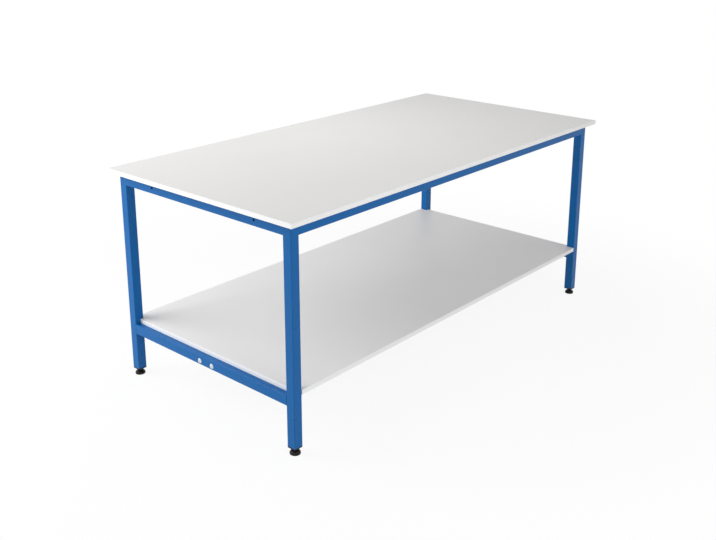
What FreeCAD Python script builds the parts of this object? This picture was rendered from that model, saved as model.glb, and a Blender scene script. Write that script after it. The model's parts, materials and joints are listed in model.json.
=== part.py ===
import FreeCAD, Part
import math
import os
import PartDesign
import Sketcher
from FreeCAD import Vector
from types import SimpleNamespace

# Assembly table: a welded frame of square and rectangular tube with a worktop, a notched lower shelf
# and four levelling feet. X runs along the table, Y from its front to its back, Z up. The origin is
# on the floor under the table's centre. Lengths are in millimetres.

SIZES = [
    # name, value, what it sets
    ("worktop_length", 2000, "worktop with its edging, along X"),
    ("worktop_depth", 1000, "worktop with its edging, along Y"),
    ("worktop_thickness", 18, "worktop board"),
    ("shelf_thickness", 18, "shelf board"),
    ("edging_thickness", 2, "edging strips of both boards"),
    ("edging_round", 1.2, "rounded outer edges of the edging"),
    ("overhang_end", 30, "worktop past the legs at each end"),
    ("overhang_side", 34, "worktop past the legs at front and back"),
    ("leg_width", 38, "square leg tube"),
    ("leg_length", 820, "leg tube from its lower end to the worktop"),
    ("tube_wall", 1.5, "wall of every tube"),
    ("tube_radius", 3, "outer corners of every tube"),
    ("tube_inner_radius", 1.5, "inner corners of every tube"),
    ("top_rail_height", 45, "top rail tube, upright"),
    ("top_rail_width", 25, "top rail tube, across"),
    ("rail_hole_diameter", 10, "holes through the top end rails"),
    ("rail_hole_front", 175, "front hole of the left rail from the front face of the legs"),
    ("rail_hole_back", 200, "back hole of the left rail from the back face of the legs"),
    ("lower_rail_height", 40, "lower end rail tube, upright"),
    ("lower_rail_width", 38, "lower end rail tube, across"),
    ("lower_rail_lift", 155, "lower end rail above the lower end of the legs"),
    ("stretcher_height", 38, "shelf stretcher tube, upright"),
    ("stretcher_width", 38, "shelf stretcher tube, across"),
    ("plate_length", 100, "stretcher end plate along Y"),
    ("plate_height", 38, "stretcher end plate, upright"),
    ("plate_thickness", 5, "stretcher end plate"),
    ("bolt_spacing", 68, "between the two bolts of an end plate"),
    ("bolt_drop", 25, "bolts below the top of the lower end rail"),
    ("bolt_diameter", 8, "domed bolts"),
    ("bolt_play", 0.6, "bolt holes larger than the bolts"),
    ("bolt_head_diameter", 20, "domed heads"),
    ("bolt_head_height", 5, "domed heads"),
    ("bolt_tail", 3, "bolt past its nut"),
    ("washer_diameter", 16, "washers under the nuts"),
    ("washer_thickness", 1.6, "washers under the nuts"),
    ("nut_flats", 13, "nuts across their flats"),
    ("nut_height", 6.5, "nuts"),
    ("screw_diameter", 5, "screws of worktop and shelf"),
    ("screw_play", 0.5, "holes in the tubes larger than the screws"),
    ("screw_fit", 0.1, "holes in the boards larger than the screws"),
    ("screw_head_diameter", 10, "screw heads"),
    ("screw_head_height", 3, "screw heads"),
    ("screw_bite", 12, "screws into the boards"),
    ("screw_tip", 3, "pointed end of the screws"),
    ("rail_screw_inset", 150, "first screw of a long rail from the leg"),
    ("rail_screw_count", 5, "screws in a long rail"),
    ("end_screw_spacing", 300, "between the two screws of a top end rail"),
    ("shelf_screw_spacing", 600, "between screws of the stretcher"),
    ("shelf_screw_count", 3, "screws in the stretcher"),
    ("shelf_inset", 22, "ends of the shelf from the outer faces of the legs"),
    ("shelf_gap", 1, "notches of the shelf clear of the legs"),
    ("foot_height", 30, "lower end of the legs above the floor"),
    ("flange_thickness", 5, "square flange of a leg insert"),
    ("insert_depth", 22, "leg insert inside the leg"),
    ("hub_diameter", 25, "hub of a leg insert"),
    ("fin_thickness", 1.5, "square fins round the hub"),
    ("fin_spacing", 5, "from one fin to the next"),
    ("fin_count", 4, "fins of a leg insert"),
    ("fin_clearance", 0.15, "fins clear of the leg's inner faces"),
    ("insert_bore_play", 1, "bore of a leg insert larger than the stud"),
    ("insert_nut_flats", 17, "moulded-in nut across its flats"),
    ("insert_nut_height", 8, "moulded-in nut"),
    ("insert_nut_lift", 2, "moulded-in nut above the flange"),
    ("stud_diameter", 10, "threaded stud"),
    ("stud_top", 56, "upper end of the stud above the floor"),
    ("stud_chamfer", 1, "upper end of the stud"),
    ("thread_clearance", 0.05, "stud clear of the nut's thread all round"),
    ("hexagon_flats", 17, "spanner hexagon of the stud"),
    ("hexagon_height", 4.5, "spanner hexagon of the stud"),
    ("hexagon_gap", 0.5, "spanner hexagon above the pad"),
    ("collar_diameter", 16, "collar of the stud inside the pad"),
    ("collar_height", 4, "collar of the stud inside the pad"),
    ("pad_diameter", 40, "round pad"),
    ("pad_height", 14, "round pad"),
    ("pad_rim_height", 5, "upright rim of the pad"),
    ("pad_top_diameter", 26, "flat top of the pad"),
    ("pad_dome_radius", 14, "curve from the rim to the top of the pad"),
    ("pad_floor", 4, "pad under the collar"),
    ("pad_recess", 1.2, "hollow under the pad"),
    ("pad_recess_diameter", 28, "hollow under the pad"),
    ("pad_chamfer", 0.8, "lower edge of the pad's rim"),
    ("socket_clearance", 0.08, "pad's socket clear of the stud's collar and neck"),
]

SIDES = (("left", -1), ("right", 1))
ENDS = (("front", -1), ("back", 1))

# how Sketcher numbers its own axes and the points of a line, an arc and a circle
ORIGIN_INDEX = HORIZONTAL_AXIS_INDEX = -1
VERTICAL_AXIS_INDEX = -2
START_INDEX = 1
END_INDEX = 2
CENTRE_INDEX = 3


class Length:
    """A size as a number, to draw with, and as a formula of the sheet's cells, to bind to."""

    def __init__(self, number, formula):
        self.number = number
        self.formula = formula

    def __add__(self, other):
        other = as_length(other)
        return Length(self.number + other.number, f"({self.formula} + {other.formula})")

    def __sub__(self, other):
        other = as_length(other)
        return Length(self.number - other.number, f"({self.formula} - {other.formula})")

    def __mul__(self, other):
        other = as_length(other)
        return Length(self.number * other.number, f"({self.formula} * {other.formula})")

    def __truediv__(self, other):
        other = as_length(other)
        return Length(self.number / other.number, f"({self.formula} / {other.formula})")

    def __neg__(self):
        return self * -1


def as_length(value):
    if isinstance(value, Length):
        return value
    return Length(value, f"({value!r})")


def make_sheet(doc):
    """Put the driving sizes in a spreadsheet and return each one by its name."""
    sheet = doc.addObject("Spreadsheet::Sheet", "sizes")
    lengths = {}
    for row, (name, value, meaning) in enumerate(SIZES, start=1):
        sheet.set(f"A{row}", str(value))
        sheet.setAlias(f"A{row}", name)
        sheet.set(f"B{row}", meaning)
        lengths[name] = Length(value, f"sizes.{name}")
    doc.recompute()
    return SimpleNamespace(**lengths)


# ---------------------------------------------------------------- sketches

def new_body(doc, label):
    body = doc.addObject("PartDesign::Body", label)
    body.Label = label
    return body


def origin_feature(body, role):
    return next(item for item in body.Origin.OriginFeatures if item.Role == role)


def sketch_on(body, role, name, x=0, y=0, z=0):
    """Attach a sketch to a plane of the body's origin, moved by x and y in it and z along its normal."""
    sketch = body.newObject("Sketcher::SketchObject", name)
    sketch.AttachmentSupport = [(origin_feature(body, role), "")]
    sketch.MapMode = "FlatFace"
    for axis, shift in (("x", x), ("y", y), ("z", z)):
        if isinstance(shift, Length):
            sketch.setExpression(f"AttachmentOffset.Base.{axis}", shift.formula)
    return sketch


def bind_constraint(sketch, kind, where, length):
    index = sketch.addConstraint(Sketcher.Constraint(kind, *where, length.number))
    name = f"{kind}_{index}"
    sketch.renameConstraint(index, name)
    sketch.setExpression(f"Constraints.{name}", length.formula)


def hold_point(sketch, geometry, point, x, y):
    """Hold a point at x and y from the sketch's origin; a coordinate of 0 puts it on the axis."""
    for kind, axis, coordinate in (("DistanceX", VERTICAL_AXIS_INDEX, x),
                                   ("DistanceY", HORIZONTAL_AXIS_INDEX, y)):
        if isinstance(coordinate, Length):
            bind_constraint(sketch, kind, (ORIGIN_INDEX, START_INDEX, geometry, point), coordinate)
        else:
            sketch.addConstraint(Sketcher.Constraint("PointOnObject", geometry, point, axis))


def short_arc(start, end, radius):
    """The shorter arc from start to end, anticlockwise round a centre on its left."""
    chord = end - start
    reach = math.sqrt(radius ** 2 - (chord.Length / 2) ** 2)
    left = Vector(-chord.y, chord.x, 0).normalize()
    centre = (start + end) / 2 + left * reach
    first = math.atan2(start.y - centre.y, start.x - centre.x)
    last = math.atan2(end.y - centre.y, end.x - centre.x)
    return Part.ArcOfCircle(Part.Circle(centre, Vector(0, 0, 1), radius), first, last)


def draw_outline(sketch, corners):
    """Draw a closed anticlockwise outline. A corner is (x, y), or (x, y, radius) where an arc starts."""
    first = sketch.GeometryCount
    places = [Vector(as_length(x).number, as_length(y).number, 0) for x, y, *radius in corners]
    for index, (x, y, *radius) in enumerate(corners):
        start, end = places[index], places[(index + 1) % len(places)]
        if radius:
            sketch.addGeometry(short_arc(start, end, radius[0].number), False)
        else:
            sketch.addGeometry(Part.LineSegment(start, end), False)
    for index, (x, y, *radius) in enumerate(corners):
        geometry = first + index
        following = first + (index + 1) % len(corners)
        ends = (geometry, END_INDEX, following, START_INDEX)
        sketch.addConstraint(Sketcher.Constraint("Coincident", *ends))
        hold_point(sketch, geometry, START_INDEX, x, y)
        if radius:
            bind_constraint(sketch, "Radius", (geometry,), radius[0])


def draw_circle(sketch, x, y, diameter):
    centre = Vector(as_length(x).number, as_length(y).number, 0)
    circle = Part.Circle(centre, Vector(0, 0, 1), diameter.number / 2)
    geometry = sketch.addGeometry(circle, False)
    hold_point(sketch, geometry, CENTRE_INDEX, x, y)
    bind_constraint(sketch, "Diameter", (geometry,), diameter)


def draw_rectangle(sketch, width, height):
    """A rectangle centred on the sketch's origin."""
    right, top = width / 2, height / 2
    draw_outline(sketch, [(-right, -top), (right, -top), (right, top), (-right, top)])


def draw_rounded_rectangle(sketch, width, height, radius):
    """A rectangle with quarter-circle corners, centred on the sketch's origin."""
    right, top = width / 2, height / 2
    flat_right, flat_top = right - radius, top - radius
    draw_outline(sketch, [
        (-flat_right, -top),
        (flat_right, -top, radius),
        (right, -flat_top),
        (right, flat_top, radius),
        (flat_right, top),
        (-flat_right, top, radius),
        (-right, flat_top),
        (-right, -flat_top, radius),
    ])


def draw_hexagon(sketch, flats):
    """A hexagon centred on the sketch's origin, with two corners on its vertical axis."""
    side = flats / 2
    corner = flats / math.sqrt(3)
    draw_outline(sketch, [
        (0, -corner), (side, -corner / 2), (side, corner / 2),
        (0, corner), (-side, corner / 2), (-side, -corner / 2),
    ])


# ---------------------------------------------------------------- features

def pad(body, sketch, name, length, both_ways=False, reverse=False):
    feature = body.newObject("PartDesign::Pad", name)
    feature.Profile = sketch
    feature.SideType = "Symmetric" if both_ways else "One side"
    feature.Reversed = reverse
    feature.setExpression("Length", length.formula)
    body.Document.recompute()
    return feature


def pocket(body, sketch, name, depth=None):
    """Cut a sketch to a depth along its normal, or both ways through everything."""
    before = body.Tip.Shape.Volume
    feature = body.newObject("PartDesign::Pocket", name)
    feature.Profile = sketch
    if depth is None:
        feature.SideType = "Symmetric"
        feature.Type = "ThroughAll"
    else:
        feature.Reversed = True
        feature.setExpression("Length", depth.formula)
    body.Document.recompute()
    if not feature.Shape.Volume < before:
        raise ValueError(f"{body.Label}: {name} cuts nothing")
    return feature


def revolve(body, sketch, name, axis):
    """Turn a sketch all round its own V_Axis or H_Axis."""
    feature = body.newObject("PartDesign::Revolution", name)
    feature.Profile = sketch
    feature.ReferenceAxis = (sketch, [axis])
    feature.Angle = 360
    body.Document.recompute()
    return feature


def repeat(body, feature, name, role, spacing, count):
    """Repeat a feature along an axis of the body's origin."""
    pattern = body.newObject("PartDesign::LinearPattern", name)
    pattern.Originals = [feature]
    pattern.Direction = (origin_feature(body, role), [""])
    pattern.Mode = "Spacing"
    pattern.setExpression("Offset", spacing.formula)
    if isinstance(count, Length):
        pattern.setExpression("Occurrences", count.formula)
    else:
        pattern.Occurrences = count
    body.Tip = pattern
    body.Document.recompute()
    return pattern


def mirror_whole(body, name, role):
    """Add the mirror image of the whole body across a plane of its origin."""
    mirror = body.newObject("PartDesign::Mirrored", name)
    mirror.TransformMode = "Whole shape"
    mirror.MirrorPlane = (origin_feature(body, role), [""])
    body.Tip = mirror
    body.Document.recompute()
    return mirror


def round_edges(body, name, radius, chosen):
    """Round the edges of the body's last feature that the function chosen picks."""
    base = body.Tip
    names = [f"Edge{i}" for i, edge in enumerate(base.Shape.Edges, start=1) if chosen(edge)]
    feature = body.newObject("PartDesign::Fillet", name)
    feature.Base = (base, names)
    feature.setExpression("Radius", radius.formula)
    body.Document.recompute()
    return feature


def place(body, x=0, y=0, z=0):
    for axis, coordinate in (("x", x), ("y", y), ("z", z)):
        if isinstance(coordinate, Length):
            body.setExpression(f"Placement.Base.{axis}", coordinate.formula)
    return body


# ---------------------------------------------------------------- frame

def make_tube(doc, s, label, role, width, height, length, both_ways=True):
    """A tube with rounded corners, drawn across a plane and centred on it unless told otherwise."""
    body = new_body(doc, label)
    section = sketch_on(body, role, "section")
    draw_rounded_rectangle(section, width, height, s.tube_radius)
    inner_width = width - s.tube_wall * 2
    inner_height = height - s.tube_wall * 2
    draw_rounded_rectangle(section, inner_width, inner_height, s.tube_inner_radius)
    pad(body, section, "tube", length, both_ways)
    return body


def make_legs(doc, s, d):
    for end, y_side in ENDS:
        for side, x_side in SIDES:
            leg = make_tube(doc, s, f"leg_{end}_{side}", "XY_Plane",
                            s.leg_width, s.leg_width, s.leg_length, both_ways=False)
            place(leg, d.leg_x * x_side, d.leg_y * y_side, s.foot_height)


def drill_tube(body, s, x, y, role, spacing, count):
    """Drill a screw hole up through both walls of a tube and repeat it along an axis."""
    sketch = sketch_on(body, "XY_Plane", "screw_hole_place")
    draw_circle(sketch, x, y, s.screw_diameter + s.screw_play)
    hole = pocket(body, sketch, "screw_hole")
    repeat(body, hole, "screw_hole_row", role, spacing, count)


def make_top_rails(doc, s, d):
    for end, y_side in ENDS:
        rail = make_tube(doc, s, f"top_rail_{end}", "YZ_Plane",
                         s.top_rail_width, s.top_rail_height, d.span_x)
        drill_tube(rail, s, d.rail_screw_x, 0, "X_Axis", d.rail_screw_spacing, s.rail_screw_count)
        place(rail, 0, d.top_rail_y * y_side, d.top_rail_z)


def make_top_end_rails(doc, s, d):
    """The two ends are welded alike and one is turned round, so its side holes change places."""
    for side, x_side in SIDES:
        rail = make_tube(doc, s, f"top_end_rail_{side}", "XZ_Plane",
                         s.top_rail_width, s.top_rail_height, d.span_y)
        holes = sketch_on(rail, "YZ_Plane", "side_hole_places")
        for hole_y in (d.rail_hole_front_y, d.rail_hole_back_y):
            draw_circle(holes, hole_y * -x_side, 0, s.rail_hole_diameter)
        pocket(rail, holes, "side_holes")
        drill_tube(rail, s, 0, -s.end_screw_spacing / 2, "Y_Axis", s.end_screw_spacing, 2)
        place(rail, d.top_end_rail_x * x_side, 0, d.top_rail_z)


def make_lower_end_rails(doc, s, d):
    for side, x_side in SIDES:
        rail = make_tube(doc, s, f"lower_end_rail_{side}", "XZ_Plane",
                         s.lower_rail_width, s.lower_rail_height, d.span_y)
        holes = sketch_on(rail, "YZ_Plane", "bolt_hole_places")
        for end_side in (-1, 1):
            draw_circle(holes, s.bolt_spacing / 2 * end_side, s.lower_rail_height / 2 - s.bolt_drop,
                        d.bolt_hole_diameter)
        pocket(rail, holes, "bolt_holes")
        place(rail, d.lower_rail_x * x_side, 0, d.lower_rail_z)


def make_stretcher(doc, s, d):
    stretcher = make_tube(doc, s, "shelf_stretcher", "YZ_Plane",
                          s.stretcher_width, s.stretcher_height, d.stretcher_length)
    drill_tube(stretcher, s, d.shelf_screw_x, 0,
               "X_Axis", s.shelf_screw_spacing, s.shelf_screw_count)
    place(stretcher, 0, 0, d.stretcher_z)
    for side, x_side in SIDES:
        plate = new_body(doc, f"stretcher_end_plate_{side}")
        face = sketch_on(plate, "YZ_Plane", "face")
        draw_rectangle(face, s.plate_length, s.plate_height)
        for end_side in (-1, 1):
            draw_circle(face, s.bolt_spacing / 2 * end_side, s.plate_height / 2 - s.bolt_drop,
                        d.bolt_hole_diameter)
        pad(plate, face, "plate", s.plate_thickness, both_ways=True)
        place(plate, d.plate_x * x_side, 0, d.plate_z)


# ---------------------------------------------------------------- bolts and screws

def make_stretcher_bolts(doc, s, d):
    """Domed bolts through the lower end rails and the end plates, drawn at the left end."""
    bolts = new_body(doc, "stretcher_bolts")
    profile = sketch_on(bolts, "XZ_Plane", "profile", x=-d.frame_length / 2, y=d.bolt_z,
                        z=s.bolt_spacing / 2)
    shank = s.bolt_diameter / 2
    head = s.bolt_head_diameter / 2
    dome = (head * head + s.bolt_head_height * s.bolt_head_height) / (s.bolt_head_height * 2)
    draw_outline(profile, [
        (-s.bolt_head_height, 0), (d.bolt_length, 0), (d.bolt_length, shank), (0, shank), (0, head, dome),
    ])
    bolt = revolve(bolts, profile, "bolt", "H_Axis")
    repeat(bolts, bolt, "bolt_pair", "Y_Axis", s.bolt_spacing, 2)
    mirror_whole(bolts, "both_ends", "YZ_Plane")

    washers = new_body(doc, "stretcher_washers")
    ring = sketch_on(washers, "YZ_Plane", "ring", x=-s.bolt_spacing / 2, y=d.bolt_z, z=d.washer_x)
    draw_circle(ring, 0, 0, s.washer_diameter)
    draw_circle(ring, 0, 0, d.bolt_hole_diameter)
    washer = pad(washers, ring, "washer", s.washer_thickness)
    repeat(washers, washer, "washer_pair", "Y_Axis", s.bolt_spacing, 2)
    mirror_whole(washers, "both_ends", "YZ_Plane")

    nuts = new_body(doc, "stretcher_nuts")
    face = sketch_on(nuts, "YZ_Plane", "face", x=-s.bolt_spacing / 2, y=d.bolt_z,
                     z=d.washer_x + s.washer_thickness)
    draw_hexagon(face, s.nut_flats)
    draw_circle(face, 0, 0, s.bolt_diameter + s.thread_clearance * 2)
    nut = pad(nuts, face, "nut", s.nut_height)
    repeat(nuts, nut, "nut_pair", "Y_Axis", s.bolt_spacing, 2)
    mirror_whole(nuts, "both_ends", "YZ_Plane")


def draw_screw(body, s, name, x, y, z, through):
    """A pan-head screw whose head seats at x, y, z under a tube of the height through."""
    profile = sketch_on(body, "XZ_Plane", f"{name}_profile", x=x, y=z, z=-y if y else 0)
    shank = s.screw_diameter / 2
    head = s.screw_head_diameter / 2
    crown = s.screw_head_height * 1.2
    shoulder = through + s.screw_bite - s.screw_tip
    draw_outline(profile, [
        (0, -s.screw_head_height), (head / 2, -s.screw_head_height, crown), (head, 0), (shank, 0),
        (shank, shoulder), (0, shoulder + s.screw_tip),
    ])
    return revolve(body, profile, name, "V_Axis")


def make_worktop_screws(doc, s, d):
    """Screws up through the long rails, then through the end rails, into the worktop."""
    screws = new_body(doc, "worktop_screws")
    for end, y_side in ENDS:
        first = draw_screw(screws, s, f"{end}_screw", d.rail_screw_x, d.top_rail_y * y_side,
                           d.top_rail_bottom, s.top_rail_height)
        repeat(screws, first, f"{end}_row", "X_Axis", d.rail_screw_spacing, s.rail_screw_count)
    for side, x_side in SIDES:
        first = draw_screw(screws, s, f"{side}_screw", d.top_end_rail_x * x_side,
                           -s.end_screw_spacing / 2, d.top_rail_bottom, s.top_rail_height)
        repeat(screws, first, f"{side}_row", "Y_Axis", s.end_screw_spacing, 2)


def make_shelf_screws(doc, s, d):
    screws = new_body(doc, "shelf_screws")
    first = draw_screw(screws, s, "screw", d.shelf_screw_x, 0,
                       d.shelf_bottom - s.stretcher_height, s.stretcher_height)
    repeat(screws, first, "screw_row", "X_Axis", s.shelf_screw_spacing, s.shelf_screw_count)


# ---------------------------------------------------------------- boards

def drill_board(body, s, name, x, y, role, spacing, count):
    """Drill a blind screw hole up into a board's underside and repeat it along an axis."""
    sketch = sketch_on(body, "XY_Plane", f"{name}_place")
    draw_circle(sketch, x, y, s.screw_diameter + s.screw_fit)
    hole = pocket(body, sketch, name, s.screw_bite)
    repeat(body, hole, f"{name}_row", role, spacing, count)


def make_worktop(doc, s, d):
    board = new_body(doc, "worktop_board")
    outline = sketch_on(board, "XY_Plane", "outline")
    draw_rectangle(outline, d.core_length, d.core_depth)
    pad(board, outline, "board", s.worktop_thickness)
    for end, y_side in ENDS:
        drill_board(board, s, f"{end}_screw_hole", d.rail_screw_x, d.top_rail_y * y_side,
                    "X_Axis", d.rail_screw_spacing, s.rail_screw_count)
    for side, x_side in SIDES:
        drill_board(board, s, f"{side}_screw_hole", d.top_end_rail_x * x_side,
                    -s.end_screw_spacing / 2, "Y_Axis", s.end_screw_spacing, 2)
    place(board, 0, 0, d.leg_top)


def make_shelf(doc, s, d):
    board = new_body(doc, "shelf_board")
    outline = sketch_on(board, "XY_Plane", "outline")
    end_x = d.shelf_end_x - s.edging_thickness
    side_y = d.shelf_side_y - s.edging_thickness
    notch_x, notch_y = d.notch_x, d.notch_y
    draw_outline(outline, [
        (-notch_x, -side_y), (notch_x, -side_y), (notch_x, -notch_y), (end_x, -notch_y),
        (end_x, notch_y), (notch_x, notch_y), (notch_x, side_y), (-notch_x, side_y),
        (-notch_x, notch_y), (-end_x, notch_y), (-end_x, -notch_y), (-notch_x, -notch_y),
    ])
    pad(board, outline, "board", s.shelf_thickness)
    drill_board(board, s, "screw_hole", d.shelf_screw_x, 0,
                "X_Axis", s.shelf_screw_spacing, s.shelf_screw_count)
    place(board, 0, 0, d.shelf_bottom)


def make_strip(doc, s, label, along_x, along_y, thickness, outward, round_ends):
    """An upright strip with the long edges of its outer face rounded, and its ends where asked."""
    strip = new_body(doc, label)
    outline = sketch_on(strip, "XY_Plane", "outline")
    draw_rectangle(outline, along_x, along_y)
    pad(strip, outline, "strip", thickness)
    reach = max(corner.Point.dot(outward) for corner in strip.Tip.Shape.Vertexes)

    def on_outer_face(edge):
        ends = [corner.Point for corner in edge.Vertexes]
        upright = abs(ends[0].z - ends[1].z) > thickness.number / 2
        outer = all(abs(point.dot(outward) - reach) < 1e-6 for point in ends)
        return outer and (round_ends or not upright)

    round_edges(strip, "rounded_edges", s.edging_round, on_outer_face)
    return strip


def make_worktop_edging(doc, s, d):
    """Front and back strips run the whole length; the end strips fit between them."""
    for end, y_side in ENDS:
        strip = make_strip(doc, s, f"worktop_edging_{end}", s.worktop_length, s.edging_thickness,
                           s.worktop_thickness, Vector(0, y_side, 0), round_ends=True)
        place(strip, 0, (s.worktop_depth - s.edging_thickness) / 2 * y_side, d.leg_top)
    for side, x_side in SIDES:
        strip = make_strip(doc, s, f"worktop_edging_{side}", s.edging_thickness, d.core_depth,
                           s.worktop_thickness, Vector(x_side, 0, 0), round_ends=False)
        place(strip, (s.worktop_length - s.edging_thickness) / 2 * x_side, 0, d.leg_top)


def make_shelf_edging(doc, s, d):
    """One strip between each pair of notches."""
    for end, y_side in ENDS:
        strip = make_strip(doc, s, f"shelf_edging_{end}", d.notch_x * 2, s.edging_thickness,
                           s.shelf_thickness, Vector(0, y_side, 0), round_ends=False)
        place(strip, 0, (d.shelf_side_y - s.edging_thickness / 2) * y_side, d.shelf_bottom)
    for side, x_side in SIDES:
        strip = make_strip(doc, s, f"shelf_edging_{side}", s.edging_thickness, d.notch_y * 2,
                           s.shelf_thickness, Vector(x_side, 0, 0), round_ends=False)
        place(strip, (d.shelf_end_x - s.edging_thickness / 2) * x_side, 0, d.shelf_bottom)


# ---------------------------------------------------------------- levelling feet

def make_insert(doc, s, d, label):
    """A ribbed plug for the end of a leg. Its origin is at the middle of the leg's lower end."""
    insert = new_body(doc, label)
    flange = sketch_on(insert, "XY_Plane", "flange_outline")
    draw_rounded_rectangle(flange, s.leg_width, s.leg_width, s.tube_radius)
    pad(insert, flange, "flange", s.flange_thickness, reverse=True)
    hub = sketch_on(insert, "XY_Plane", "hub_outline")
    draw_circle(hub, 0, 0, s.hub_diameter)
    pad(insert, hub, "hub", s.insert_depth)
    fin_outline = sketch_on(insert, "XY_Plane", "fin_outline", z=d.first_fin_z)
    draw_rounded_rectangle(fin_outline, d.fin_width, d.fin_width, s.tube_inner_radius)
    fin = pad(insert, fin_outline, "fin", s.fin_thickness)
    repeat(insert, fin, "fins", "Z_Axis", s.fin_spacing, s.fin_count)
    nut_seat = sketch_on(insert, "XY_Plane", "nut_seat_outline", z=s.insert_nut_lift)
    draw_hexagon(nut_seat, s.insert_nut_flats)
    pocket(insert, nut_seat, "nut_seat", s.insert_nut_height)
    bore = sketch_on(insert, "XY_Plane", "bore_outline")
    draw_circle(bore, 0, 0, s.stud_diameter + s.insert_bore_play)
    pocket(insert, bore, "bore")
    return insert


def make_insert_nuts(doc, s, d):
    """The nut moulded into each insert."""
    nuts = new_body(doc, "insert_nuts")
    face = sketch_on(nuts, "XY_Plane", "face", x=-d.leg_x, y=-d.leg_y,
                     z=s.foot_height + s.insert_nut_lift)
    draw_hexagon(face, s.insert_nut_flats)
    draw_circle(face, 0, 0, s.stud_diameter + s.thread_clearance * 2)
    nut = pad(nuts, face, "nut", s.insert_nut_height)
    repeat(nuts, nut, "nut_pair", "X_Axis", d.leg_x * 2, 2)
    mirror_whole(nuts, "front_and_back", "XZ_Plane")


def make_stud(doc, s, d, label):
    """A stud with a collar held in the pad and a spanner hexagon. Its origin is on the floor."""
    stud = new_body(doc, label)
    profile = sketch_on(stud, "XZ_Plane", "profile")
    collar = s.collar_diameter / 2
    radius = s.stud_diameter / 2
    collar_top = s.pad_floor + s.collar_height
    draw_outline(profile, [
        (0, s.pad_floor), (collar, s.pad_floor), (collar, collar_top), (radius, collar_top),
        (radius, s.stud_top - s.stud_chamfer), (radius - s.stud_chamfer, s.stud_top), (0, s.stud_top),
    ])
    revolve(stud, profile, "stud", "V_Axis")
    hexagon = sketch_on(stud, "XY_Plane", "hexagon_outline", z=s.pad_height + s.hexagon_gap)
    draw_hexagon(hexagon, s.hexagon_flats)
    pad(stud, hexagon, "hexagon", s.hexagon_height)
    return stud


def make_pad(doc, s, d, label):
    """A domed pad with a socket for the stud's collar. Its origin is on the floor."""
    foot = new_body(doc, label)
    profile = sketch_on(foot, "XZ_Plane", "profile")
    recess = s.pad_recess_diameter / 2
    rim = s.pad_diameter / 2
    socket = s.collar_diameter / 2 + s.socket_clearance
    neck = s.stud_diameter / 2 + s.socket_clearance
    socket_top = s.pad_floor + s.collar_height + s.socket_clearance
    draw_outline(profile, [
        (0, s.pad_recess), (recess, s.pad_recess), (recess + s.pad_recess, 0),
        (rim - s.pad_chamfer, 0), (rim, s.pad_chamfer), (rim, s.pad_rim_height, s.pad_dome_radius),
        (s.pad_top_diameter / 2, s.pad_height), (neck, s.pad_height), (neck, socket_top),
        (socket, socket_top), (socket, s.pad_floor), (0, s.pad_floor),
    ])
    revolve(foot, profile, "pad", "V_Axis")
    return foot


def make_feet(doc, s, d):
    for end, y_side in ENDS:
        for side, x_side in SIDES:
            x, y = d.leg_x * x_side, d.leg_y * y_side
            place(make_insert(doc, s, d, f"leg_insert_{end}_{side}"), x, y, s.foot_height)
            place(make_stud(doc, s, d, f"foot_stud_{end}_{side}"), x, y)
            place(make_pad(doc, s, d, f"foot_pad_{end}_{side}"), x, y)
    make_insert_nuts(doc, s, d)


# ---------------------------------------------------------------- whole table

def derive(s):
    """Places and lengths that follow from the driving sizes."""
    d = SimpleNamespace()
    d.frame_length = s.worktop_length - s.overhang_end * 2
    d.frame_depth = s.worktop_depth - s.overhang_side * 2
    d.leg_x = (d.frame_length - s.leg_width) / 2
    d.leg_y = (d.frame_depth - s.leg_width) / 2
    d.leg_top = s.foot_height + s.leg_length
    d.span_x = d.frame_length - s.leg_width * 2
    d.span_y = d.frame_depth - s.leg_width * 2

    d.top_rail_y = (d.frame_depth - s.top_rail_width) / 2
    d.top_end_rail_x = (d.frame_length - s.top_rail_width) / 2
    d.top_rail_z = d.leg_top - s.top_rail_height / 2
    d.top_rail_bottom = d.leg_top - s.top_rail_height
    d.rail_hole_front_y = s.rail_hole_front - d.frame_depth / 2
    d.rail_hole_back_y = d.frame_depth / 2 - s.rail_hole_back
    d.rail_screw_x = s.rail_screw_inset - d.span_x / 2
    d.rail_screw_spacing = (d.span_x - s.rail_screw_inset * 2) / (s.rail_screw_count - 1)

    d.lower_rail_x = (d.frame_length - s.lower_rail_width) / 2
    d.lower_rail_z = s.foot_height + s.lower_rail_lift + s.lower_rail_height / 2
    d.shelf_bottom = s.foot_height + s.lower_rail_lift + s.lower_rail_height
    d.stretcher_z = d.shelf_bottom - s.stretcher_height / 2
    d.plate_z = d.shelf_bottom - s.plate_height / 2
    rail_inner_x = d.frame_length / 2 - s.lower_rail_width
    d.plate_x = rail_inner_x - s.plate_thickness / 2
    d.stretcher_length = (rail_inner_x - s.plate_thickness) * 2
    d.shelf_screw_x = -s.shelf_screw_spacing * (s.shelf_screw_count - 1) / 2

    d.bolt_z = d.shelf_bottom - s.bolt_drop
    d.bolt_hole_diameter = s.bolt_diameter + s.bolt_play
    d.washer_x = s.plate_thickness - rail_inner_x
    d.bolt_length = (s.lower_rail_width + s.plate_thickness + s.washer_thickness + s.nut_height
                     + s.bolt_tail)

    d.core_length = s.worktop_length - s.edging_thickness * 2
    d.core_depth = s.worktop_depth - s.edging_thickness * 2
    d.shelf_end_x = d.frame_length / 2 - s.shelf_inset
    d.shelf_side_y = d.frame_depth / 2
    d.notch_x = d.span_x / 2 - s.shelf_gap
    d.notch_y = d.span_y / 2 - s.shelf_gap

    d.fin_width = s.leg_width - s.tube_wall * 2 - s.fin_clearance * 2
    d.first_fin_z = (s.insert_depth - s.fin_spacing * (s.fin_count - 1) - s.fin_thickness) / 2
    return d


def check_document(doc):
    """Stop if any object failed to compute."""
    for item in doc.Objects:
        if "Invalid" in item.State or "Error" in item.State:
            raise RuntimeError(f"{item.Label} failed: {item.State}")


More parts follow.
